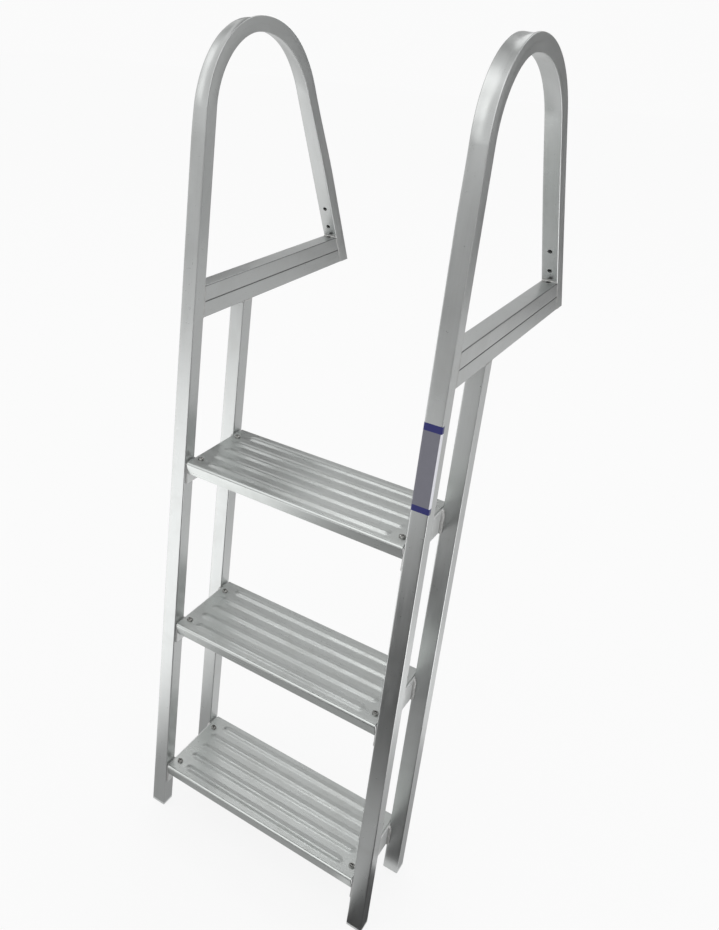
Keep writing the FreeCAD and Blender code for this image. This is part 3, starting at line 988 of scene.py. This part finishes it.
class LADDER_OT_lay_welds(bpy.types.Operator):
    """Lays the weld beads where rails, legs and brackets meet."""

    bl_idname = "ladder.lay_welds"
    bl_label = "Lay the welds"

    def execute(self, context):
        sizes = context.scene.ladder_fasteners
        for side in SIDES:
            made = joined(frame_welds(side, sizes))
            make_piece(f"{side}_frame_welds", *made, weld_metal(), slot="tube_aluminium")
            for step in STEPS:
                made = joined(bracket_welds(side, step, sizes))
                make_piece(f"{step}_{side}_welds", *made, weld_metal(), slot="bracket_aluminium")
        return {"FINISHED"}


# The blank strip

STRIP_TOP = -45.1 * MM
STRIP_FOOT = -174.5 * MM
STRIP_PROUD = 0.14 * MM
STRIP_WRAP = 4.6 * MM
STRIP_MARGIN = 1.2 * MM
STRIP_SOFT = 0.15 * MM
BAND_TOP = 10.6 * MM
BAND_FOOT = 9.3 * MM


class LADDER_OT_apply_strip(bpy.types.Operator):
    """Lays the blank adhesive strip on the right front leg, lapped round both corners."""

    bl_idname = "ladder.apply_strip"
    bl_label = "Apply the blank strip"

    def execute(self, context):
        g = hoop_geometry("right")
        loop = tube_loop(g.half, context.scene.ladder_tube.corner)
        front = loop[2 * SIDE_STEPS:3 * SIDE_STEPS + CORNER_STEPS + 1]
        wrapped = np.concatenate([front, [[g.half, front[-1, 1] + STRIP_WRAP]]])
        edge = np.gradient(wrapped, axis=0)
        normal = spread(edge[:, 1], -edge[:, 0])
        normal /= np.linalg.norm(normal, axis=1, keepdims=True)
        normal *= np.sign((normal * wrapped).sum(axis=1, keepdims=True))
        z = np.linspace(STRIP_FOOT, STRIP_TOP, 60)[:, None]
        shells = []
        for lift in (STRIP_PROUD, 0.0):
            x, y = (wrapped + lift * normal).T
            shells.append(spread(g.centre + x, g.front + y, z).reshape(-1, 3))
        faces = sheet_faces(len(z), len(wrapped), True)
        make_piece("blank_strip", np.concatenate(shells), faces, strip_film(g))
        return {"FINISHED"}


# Node groups and materials


class Graph:
    """Short hands for adding and linking nodes of one tree."""

    def __init__(self, tree):
        self.tree = tree

    def node(self, kind, **settings):
        node = self.tree.nodes.new(kind)
        for key, value in settings.items():
            setattr(node, key, value)
        return node

    def link(self, source, target):
        self.tree.links.new(source, target)

    def put(self, value, target):
        """Sets a socket to a number or links it to another socket."""
        if isinstance(value, bpy.types.NodeSocket):
            self.link(value, target)
        else:
            target.default_value = value

    def place(self):
        return self.node("ShaderNodeTexCoord").outputs["Object"]

    def axes(self, vector):
        node = self.node("ShaderNodeSeparateXYZ")
        self.link(vector, node.inputs[0])
        return node.outputs

    def sum(self, operation, *values):
        node = self.node("ShaderNodeMath", operation=operation)
        for value, target in zip(values, node.inputs):
            self.put(value, target)
        return node.outputs[0]

    def scaled(self, vector, scale):
        node = self.node("ShaderNodeVectorMath", operation="MULTIPLY")
        self.link(vector, node.inputs[0])
        self.put(scale, node.inputs[1])
        return node.outputs[0]

    def noise(self, vector, scale, detail=3.0, roughness=0.55, distortion=0.0):
        node = self.node("ShaderNodeTexNoise")
        values = (vector, scale, detail, roughness, distortion)
        for key, value in zip(("Vector", "Scale", "Detail", "Roughness", "Distortion"), values):
            self.put(value, node.inputs[key])
        return node.outputs["Fac"]

    def span(self, value, low, high, to_low=0.0, to_high=1.0):
        node = self.node("ShaderNodeMapRange")
        values = (value, low, high, to_low, to_high)
        for key, value in zip(("Value", "From Min", "From Max", "To Min", "To Max"), values):
            self.put(value, node.inputs[key])
        return node.outputs["Result"]

    def blend(self, share, first, second):
        """A mix of two colours, each a socket or an array."""
        node = self.node("ShaderNodeMix", data_type="RGBA")
        self.put(share, node.inputs[0])
        for value, target in ((first, node.inputs[6]), (second, node.inputs[7])):
            self.put(value if isinstance(value, bpy.types.NodeSocket) else (*value, 1.0), target)
        return node.outputs[2]

    def relief(self, height, distance, shader):
        node = self.node("ShaderNodeBump")
        node.inputs["Distance"].default_value = distance
        self.link(height, node.inputs["Height"])
        self.link(node.outputs["Normal"], shader.inputs["Normal"])

    def glow_over(self, under, share, grey):
        """Puts out a grey glow laid over another shader by a share."""
        glow = self.node("ShaderNodeEmission")
        glow.inputs["Color"].default_value = (grey, grey, grey, 1)
        mix = self.node("ShaderNodeMixShader")
        for source, target in zip((share, under.outputs[0], glow.outputs[0]), mix.inputs):
            self.link(source, target)
        self.link(mix.outputs[0], self.node("ShaderNodeOutputMaterial").inputs["Surface"])


def new_group(name, inputs, outputs):
    """A new group of a vector and named numbers: its graph, what comes in and what goes out."""
    tree = bpy.data.node_groups.new(name, "ShaderNodeTree")
    tree.interface.new_socket(name="Vector", in_out="INPUT", socket_type="NodeSocketVector")
    for socket, default in inputs.items():
        made = tree.interface.new_socket(name=socket, in_out="INPUT", socket_type="NodeSocketFloat")
        made.default_value = default
    for socket in outputs:
        tree.interface.new_socket(name=socket, in_out="OUTPUT", socket_type="NodeSocketFloat")
    g = Graph(tree)
    return g, g.node("NodeGroupInput").outputs, g.node("NodeGroupOutput").inputs


def grain_group():
    """Drawn lines that run along the stock: noise stretched along it, coarse and fine."""
    if "drawn_grain" in bpy.data.node_groups:
        return bpy.data.node_groups["drawn_grain"]
    g, source, sink = new_group("drawn_grain", {"Fineness": 1.0}, ("Height", "Shade"))
    coarse = g.noise(g.scaled(source["Vector"], (900, 900, 6)), source["Fineness"], 2.0)
    fine = g.noise(g.scaled(source["Vector"], (4200, 4200, 25)), source["Fineness"], 2.0)
    cloud = g.noise(g.scaled(source["Vector"], (60, 60, 14)), 1.0)
    g.link(g.sum("ADD", g.sum("MULTIPLY", coarse, 0.6), g.sum("MULTIPLY", fine, 0.4)), sink["Height"])
    g.link(g.sum("ADD", g.sum("MULTIPLY", coarse, 0.45), g.sum("MULTIPLY", cloud, 0.55)), sink["Shade"])
    return g.tree


def handling_group():
    """Marks of handling: soft smears, small dark specks and short stray scratches."""
    if "handling_marks" in bpy.data.node_groups:
        return bpy.data.node_groups["handling_marks"]
    inputs = {"Smears": 0.5, "Specks": 0.5}
    g, source, sink = new_group("handling_marks", inputs, ("Smear", "Speck", "Scratch"))
    vector = source["Vector"]
    smear = g.span(g.noise(g.scaled(vector, (22, 22, 22)), 1.0, 5.0, 0.62, 0.6), 0.50, 0.78)
    g.link(g.sum("MULTIPLY", smear, source["Smears"]), sink["Smear"])
    dots = g.node("ShaderNodeTexVoronoi", feature="F1")
    g.link(vector, dots.inputs["Vector"])
    dots.inputs["Scale"].default_value = 55.0
    near = g.span(dots.outputs["Distance"], 0.03, 0.07, 1.0, 0.0)
    rare = g.span(g.noise(vector, 31.0, 1.0), 0.60, 0.64)
    g.link(g.sum("MULTIPLY", g.sum("MULTIPLY", near, rare), source["Specks"]), sink["Speck"])
    lines = g.noise(g.scaled(vector, (120, 900, 300)), 1.0, 1.0, 0.5, 1.2)
    g.link(g.span(lines, 0.705, 0.73), sink["Scratch"])
    return g.tree


def placed_group(g, group, **inputs):
    """A group's node in a material, as its outputs."""
    node = g.node("ShaderNodeGroup", node_tree=group)
    for key, value in inputs.items():
        g.put(value, node.inputs[key])
    return node.outputs


def new_material(name):
    """A new material with its graph."""
    material = bpy.data.materials.new(name)
    material.use_nodes = True
    return material, Graph(material.node_tree)


def corner_shade(g, stock, shift, half):
    """1 along the four corners of a square tube whose stock is shifted across: where the painted shade
    goes.
    """
    axes = g.axes(stock)
    across = g.sum("ABSOLUTE", g.sum("SUBTRACT", axes["X"], shift))
    inwards = g.sum("ABSOLUTE", axes["Y"])
    return g.span(g.sum("MINIMUM", across, inwards), half - 1.5 * MM, half - 0.7 * MM)


STREAK = 0.09
GRAIN_DEPTH = 0.02 * MM
CLOUD_RANGE = (0.3, 0.7)
# What is left of a metal's tint under smears and specks, and under the painted shade along the deck
# rails' corners
SMEAR_TINT = 0.80 * np.array([1.0, 0.985, 0.95])
SPECK_TINT = 0.25
CORNER_SHADE_TINT = 0.35


def drawn_metal(name, finish, roughness, fineness, smears, specks, metallic=1.0, corners=None):
    """Satin aluminium: grain along the stock, a cloudy tint, smears, specks and stray scratches.

    corners, if given, is a tube's shift across and half its width: its corners are then darker, a
    painted shade for the shadow in the joint between two rails and the dark lines along their corners.
    """
    if name in bpy.data.materials:
        return bpy.data.materials[name]
    material, g = new_material(name)
    shader = g.tree.nodes["Principled BSDF"]
    stock = g.node("ShaderNodeAttribute", attribute_name="stock").outputs["Vector"]
    grain = placed_group(g, grain_group(), Vector=stock, Fineness=fineness)
    marks = placed_group(g, handling_group(), Vector=g.place(), Smears=smears, Specks=specks)
    tint = np.array(getattr(bpy.context.scene.ladder_finishes, finish))
    base = g.blend(grain["Shade"], tint * (1 - STREAK), tint * (1 + STREAK))
    base = g.blend(marks["Smear"], base, tint * SMEAR_TINT)
    base = g.blend(marks["Speck"], base, tint * SPECK_TINT)
    # Painted shade: darker along the corners, for the shadow in the joints between the rails and the
    # dark lines along their corners.
    if corners is not None:
        base = g.blend(corner_shade(g, stock, *corners), base, tint * CORNER_SHADE_TINT)
    g.link(base, shader.inputs["Base Color"])
    rough = g.span(grain["Shade"], *CLOUD_RANGE, roughness - 0.05, roughness + 0.05)
    rough = g.sum("ADD", rough, g.sum("MULTIPLY", marks["Smear"], 0.10))
    rough = g.sum("SUBTRACT", rough, g.sum("MULTIPLY", marks["Scratch"], 0.06))
    g.link(rough, shader.inputs["Roughness"])
    shader.inputs["Metallic"].default_value = metallic
    height = g.sum("SUBTRACT", grain["Height"], g.sum("MULTIPLY", marks["Scratch"], 0.5))
    g.relief(height, GRAIN_DEPTH, shader)
    return material


def tube_metal():
    return drawn_metal("extruded_aluminium", "tube", 0.34, 1.0, 0.25, 0.25)


# Painted shade along the deck rails' corners, for the shadow in the joint between the two rails.
def rail_metal(half):
    return drawn_metal("deck_rail_aluminium", "tube", 0.34, 1.0, 0.25, 0.25, corners=(RAIL_SHIFT, half))


def tread_metal():
    return drawn_metal("pressed_aluminium", "tread", 0.30, 0.8, 0.35, 1.0)


# Painted light: the paler tint and lower metallic stand partly for the light on the brackets between the
# legs.
def bracket_metal():
    return drawn_metal("angle_aluminium", "bracket", 0.45, 1.0, 0.3, 0.8, metallic=0.4)


def mottled(name, finish, cloud, shades, gloss, bumps, metallic):
    """A mottled material with its graph, shader, base colour and tint.

    cloud is the noise's scale and detail, shades the tint's factors at its two
    ends, gloss the roughness there, and bumps the relief's scale and depth.
    """
    material, g = new_material(name)
    shader = g.tree.nodes["Principled BSDF"]
    place = g.place()
    mottle = g.noise(place, *cloud)
    tint = np.array(getattr(bpy.context.scene.ladder_finishes, finish))
    g.link(g.span(mottle, *CLOUD_RANGE, *gloss), shader.inputs["Roughness"])
    shader.inputs["Metallic"].default_value = metallic
    g.relief(g.noise(place, bumps[0], 2.0), bumps[1], shader)
    return material, g, shader, g.blend(mottle, tint * shades[0], tint * shades[1]), tint


def weld_metal():
    """Wire-brushed weld: fine brushing in all directions and a dull tint where it is smeared."""
    if "brushed_weld" in bpy.data.materials:
        return bpy.data.materials["brushed_weld"]
    material, g, shader, base, tint = mottled(
        "brushed_weld", "weld", (420.0, 4.0), (0.72, 1.15), (0.36, 0.52), (2600.0, 0.06 * MM), 1.0
    )
    marks = placed_group(g, handling_group(), Vector=g.place(), Smears=0.8, Specks=1.0)
    g.link(g.blend(marks["Smear"], base, tint * 0.6), shader.inputs["Base Color"])
    return material


def steel_metal():
    """Bright stainless steel, faintly mottled, its tint darkened as partly painted shade for the dark
    surroundings it mirrors.
    """
    if "stainless_screws" in bpy.data.materials:
        return bpy.data.materials["stainless_screws"]
    material, g, shader, base, _ = mottled(
        "stainless_screws", "steel", (700.0, 3.0), (0.8, 1.12), (0.10, 0.18), (3000.0, 0.01 * MM), 1.0
    )
    g.link(base, shader.inputs["Base Color"])
    return material


def strip_film(hoop):
    """Blank matt film: a grey ground, partly painted shade, a pale painted highlight along its right
    edge and round the corner, and a plain band at each end.
    """
    finishes = bpy.context.scene.ladder_finishes
    material, g, shader, base, _ = mottled(
        "blank_film", "strip", (90.0, 4.0), (0.93, 1.05), (0.34, 0.46), (160.0, 0.05 * MM), 0.0
    )
    axes = g.axes(g.place())

    def past(axis, line, *ends):
        return g.span(axes[axis], line - STRIP_SOFT, line + STRIP_SOFT, *ends)

    # Painted highlight: the pale edge over the corner and the side that the film laps onto.
    margin = past("X", hoop.centre + hoop.half - STRIP_MARGIN)
    foot = past("Z", STRIP_FOOT + BAND_FOOT, 1.0, 0.0)
    bands = g.sum("MAXIMUM", past("Z", STRIP_TOP - BAND_TOP), foot)
    base = g.blend(margin, base, finishes.strip_edge_highlight)
    g.link(g.blend(bands, base, finishes.band), shader.inputs["Base Color"])
    return material


# Floor, light and camera

PAPER = 0.96
FLOOR_GLOW = 0.86
FLOOR_COLOUR = 0.86
FLOOR_REACH = 14.0
CARD_FLOOR = -0.932
CARD_EDGE = 0.06
WALL = (ACROSS, UP)
ROOF = (ACROSS, -ALONG)
GROUND = (ACROSS, ALONG)
FLANK = (ALONG, UP)

# What the metal mirrors, as painted reflections: glowing cards that only its gloss shows, dark ones
# standing in for shade and bright ones for light. Each card's plane, corner, two sides and brightness
CARDS = (
    ("back_low_card", WALL, (-4.6, 3.0, CARD_FLOOR), (5.0, 1.75), 0.85),
    ("bead_card", WALL, (-0.70, 0.6, 0.38), (0.43, 0.42), 2.4),
    ("back_mid_card", WALL, (-4.6, 3.0, 0.8), (2.9, 1.2), 0.03),
    ("back_near_card", WALL, (-1.7, 3.0, 0.8), (2.3, 1.2), 0.5),
    ("back_high_card", WALL, (-4.6, 3.0, 2.0), (5.2, 0.65), 0.45),
    ("back_crown_card", WALL, (-4.6, 3.0, 2.65), (3.1, 1.15), 1.1),
    ("right_crown_card", WALL, (-1.5, 3.0, 2.65), (2.1, 1.15), 0.25),
    ("right_dark_card", WALL, (0.4, 3.0, CARD_FLOOR), (1.05, 1.75), 0.0),
    ("right_low_card", WALL, (1.45, 3.0, CARD_FLOOR), (2.1, 1.75), 0.9),
    ("right_mid_card", WALL, (0.4, 3.0, 0.8), (3.2, 0.7), 0.2),
    ("right_high_card", WALL, (0.6, 3.0, 1.5), (2.8, 1.9), 2.0),
    ("right_side_card", FLANK, (2.4, -1.6, CARD_FLOOR), (4.0, 3.0), 0.3),
    ("top_back_card", ROOF, (-3.2, 3.0, 3.6), (5.0, 1.1), 0.35),
    ("top_dark_card", ROOF, (-3.2, 1.9, 3.6), (5.0, 1.1), 0.3),
    ("top_middle_card", ROOF, (-3.2, 0.8, 3.6), (5.0, 1.6), 0.8),
    ("top_front_card", ROOF, (-3.2, -0.8, 3.6), (5.0, 2.5), 1.9),
    ("front_high_card", WALL, (-3.0, -3.6, 0.3), (5.2, 3.3), 1.15),
    ("front_low_card", WALL, (-3.0, -3.6, CARD_FLOOR), (5.2, 1.25), 0.5),
    # The cards on the floor glow as painted reflections of it: bright ones for light on the floor, dark
    # ones for the shade near the feet.
    ("left_cloth", GROUND, (-2.18, -2.2, CARD_FLOOR), (1.68, 1.94), 1.9),
    ("dark_cloth", GROUND, (-0.5, -1.9, CARD_FLOOR), (1.9, 1.5), 0.06),
    ("near_cloth", GROUND, (-0.5, -0.39, CARD_FLOOR), (0.46, 0.36), 0.5),
    ("foot_cloth", GROUND, (-0.04, -0.39, CARD_FLOOR), (0.43, 0.36), 0.1),
    ("front_cloth", GROUND, (-2.6, -3.6, CARD_FLOOR), (4.2, 1.4), 0.02),
    ("right_cloth", GROUND, (0.42, -0.38, CARD_FLOOR), (1.2, 0.9), 2.6),
    ("under_cloth", GROUND, (-0.85, -0.03, CARD_FLOOR), (0.89, 0.48), 0.85),
    ("heel_cloth", GROUND, (0.0, -0.03, CARD_FLOOR + 0.001), (0.22, 0.33), 0.5),
    ("back_cloth", GROUND, (-2.6, 0.55, CARD_FLOOR), (5.2, 2.4), 0.75),
)


class LADDER_OT_set_stage(bpy.types.Operator):
    """Sets the pale floor, the white world, the soft lamps, the glowing cards of painted reflections and
    the camera.
    """

    bl_idname = "ladder.set_stage"
    bl_label = "Set the stage"

    def execute(self, context):
        studio = context.scene.ladder_studio
        make_floor()
        make_world(studio)
        lamp("front_softbox", (-0.9, -3.2, 1.9), (-0.2, 0.0, 0.1), (2.6, 1.6), studio.key, 0.99)
        lamp("overhead_softbox", (-0.9, 2.9, 3.3), (-0.2, 0.0, -0.4), (3.2, 1.2), studio.overhead, 1.0)
        for card in CARDS:
            reflection_card(*card)
        make_camera(studio)
        context.scene.view_settings.view_transform = "Standard"
        return {"FINISHED"}


def seen_rays(g):
    """1 for the camera's rays and what gloss and glass show, 0 for the light on the object."""
    path = g.node("ShaderNodeLightPath")
    seen = g.sum("MAXIMUM", path.outputs["Is Camera Ray"], path.outputs["Is Glossy Ray"])
    return g.sum("MAXIMUM", seen, path.outputs["Is Transmission Ray"])


def bare_material(name):
    """A new material with nothing in it, and its graph."""
    material, g = new_material(name)
    g.tree.nodes.clear()
    return material, g


def make_floor():
    """A pale floor that keeps the shadow: part matt paint, part a glow that only seen rays add."""
    low, high = np.array(CAD_BOX)
    middle = (low + high) / 2
    grid = np.linspace(-FLOOR_REACH, FLOOR_REACH, 9)
    points = spread(grid + middle[0], (grid + middle[1])[:, None], low[2]).reshape(-1, 3)
    mesh = bpy.data.meshes.new("floor")
    mesh.from_pydata(points.tolist(), [], grid_faces(9, 9, False).tolist())
    material, g = bare_material("pale_floor")
    matt = g.node("ShaderNodeBsdfDiffuse")
    matt.inputs["Color"].default_value = (FLOOR_COLOUR, FLOOR_COLOUR, FLOOR_COLOUR, 1)
    g.glow_over(matt, g.sum("MULTIPLY", seen_rays(g), FLOOR_GLOW), 1)
    mesh.materials.append(material)
    floor = linked("floor", mesh)


def make_world(studio):
    """A white world: its own strength lights the object, and the paper's is what seen rays meet."""
    world = bpy.data.worlds.new("pale_studio")
    bpy.context.scene.world = world
    world.use_nodes = True
    g = Graph(world.node_tree)
    back = world.node_tree.nodes["Background"]
    back.inputs["Color"].default_value = (1, 1, 1, 1)
    g.link(g.span(seen_rays(g), 0, 1, studio.world, PAPER), back.inputs["Strength"])


def reflection_card(name, plane, corner, sides, grey):
    """A glowing soft-edged card beside the set that only the metal's gloss shows: a painted reflection,
    dark for shade and bright for light.

    Its cover is greatest in the middle and runs out towards the edges as the
    product of two smooth humps over its length and height.
    """
    corner = np.array(corner)
    across, upward = plane[0] * sides[0], plane[1] * sides[1]
    points = [corner, corner + across, corner + across + upward, corner + upward]
    mesh = bpy.data.meshes.new(name)
    mesh.from_pydata([p.tolist() for p in points], [], [(0, 1, 2, 3)])
    layer = mesh.uv_layers.new(name="card")
    layer.data.foreach_set("uv", [0, 0, 1, 0, 1, 1, 0, 1])
    material, g = bare_material(name)
    axes = g.axes(g.node("ShaderNodeUVMap", uv_map="card").outputs[0])
    humps = []
    for axis in ("X", "Y"):
        hump = g.node("ShaderNodeMapRange", interpolation_type="SMOOTHSTEP")
        g.link(g.sum("MINIMUM", axes[axis], g.sum("SUBTRACT", 1.0, axes[axis])), hump.inputs["Value"])
        hump.inputs["From Max"].default_value = CARD_EDGE
        humps.append(hump.outputs["Result"])
    g.glow_over(g.node("ShaderNodeBsdfTransparent"), g.sum("MULTIPLY", *humps), grey)
    mesh.materials.append(material)
    card = linked(name, mesh)
    for rays in ("camera", "diffuse", "shadow", "transmission", "volume_scatter"):
        setattr(card, f"visible_{rays}", False)


def turned(across, upward, back):
    """The turn whose own X, Y and Z are three directions at right angles."""
    return Matrix(np.stack([across, upward, back], axis=1).tolist()).to_quaternion()


def lamp(name, place, target, size, watts, blue):
    """A soft rectangular lamp that looks at a point, white but for its share of blue."""
    data = bpy.data.lights.new(name, "AREA")
    data.shape = "RECTANGLE"
    data.size, data.size_y = size
    data.energy = watts
    data.color = (1.0, 1.0, blue)
    made = linked(name, data)
    made.location = place
    made.rotation_mode = "QUATERNION"
    back = np.array(place) - np.array(target)
    back /= np.linalg.norm(back)
    across = np.cross(UP, back)
    across /= np.linalg.norm(across)
    made.rotation_quaternion = turned(across, np.cross(back, across), back)


PHOTO_WIDTH, PHOTO_HEIGHT = 719, 930


def make_camera(studio):
    """The camera of the photograph: its place, its turn, and a frame that lies off its axis."""
    data = bpy.data.cameras.new("photo_camera")
    camera = linked("photo_camera", data)
    bpy.context.scene.camera = camera
    turns = (studio.azimuth, studio.elevation, studio.roll)
    azimuth, elevation, roll = (math.radians(degrees) for degrees in turns)
    level = np.array([math.cos(azimuth), math.sin(azimuth), 0.0])
    ahead = math.cos(elevation) * np.cross(UP, level) - math.sin(elevation) * UP
    upright = np.cross(level, ahead)
    right = math.cos(roll) * level + math.sin(roll) * upright
    above = -math.sin(roll) * level + math.cos(roll) * upright
    camera.location = studio.camera_place
    camera.rotation_mode = "QUATERNION"
    camera.rotation_quaternion = turned(right, above, -ahead)
    long_side = max(PHOTO_WIDTH, PHOTO_HEIGHT)
    data.sensor_fit = "AUTO"
    data.lens = studio.focal_pixels / long_side * data.sensor_width
    data.shift_x = (PHOTO_WIDTH / 2 - studio.optical_x) / long_side
    data.shift_y = (studio.optical_y - PHOTO_HEIGHT / 2) / long_side
    data.clip_start, data.clip_end = 0.01, 100.0


OPERATORS = (
    LADDER_OT_bend_hoops,
    LADDER_OT_lay_deck_rails,
    LADDER_OT_stand_rear_legs,
    LADDER_OT_press_treads,
    LADDER_OT_fit_brackets,
    LADDER_OT_drive_screws,
    LADDER_OT_lay_welds,
    LADDER_OT_apply_strip,
    LADDER_OT_set_stage,
)


class LADDER_PT_dress(bpy.types.Panel):
    """Lists the ladder's operators in the sidebar of the 3D view."""

    bl_idname = "LADDER_PT_dress"
    bl_label = "Dock ladder"
    bl_space_type = "VIEW_3D"
    bl_region_type = "UI"
    bl_category = "Dock ladder"

    def draw(self, context):
        for operator in OPERATORS:
            self.layout.operator(operator.bl_idname)
        for name in GROUPS:
            group = getattr(context.scene, name)
            box = self.layout.box()
            for prop in group.__annotations__:
                box.prop(group, prop)


CLASSES = (*GROUPS.values(), *OPERATORS, LADDER_PT_dress)


def register():
    for cls in CLASSES:
        bpy.utils.register_class(cls)
    for name, cls in GROUPS.items():
        setattr(bpy.types.Scene, name, bpy.props.PointerProperty(type=cls))


def unregister():
    for name in GROUPS:
        delattr(bpy.types.Scene, name)
    for cls in reversed(CLASSES):
        bpy.utils.unregister_class(cls)


def main():
    register()
    for operator in OPERATORS:
        group, name = operator.bl_idname.split(".")
        getattr(getattr(bpy.ops, group), name)()


if __name__ == "__main__":
    main()
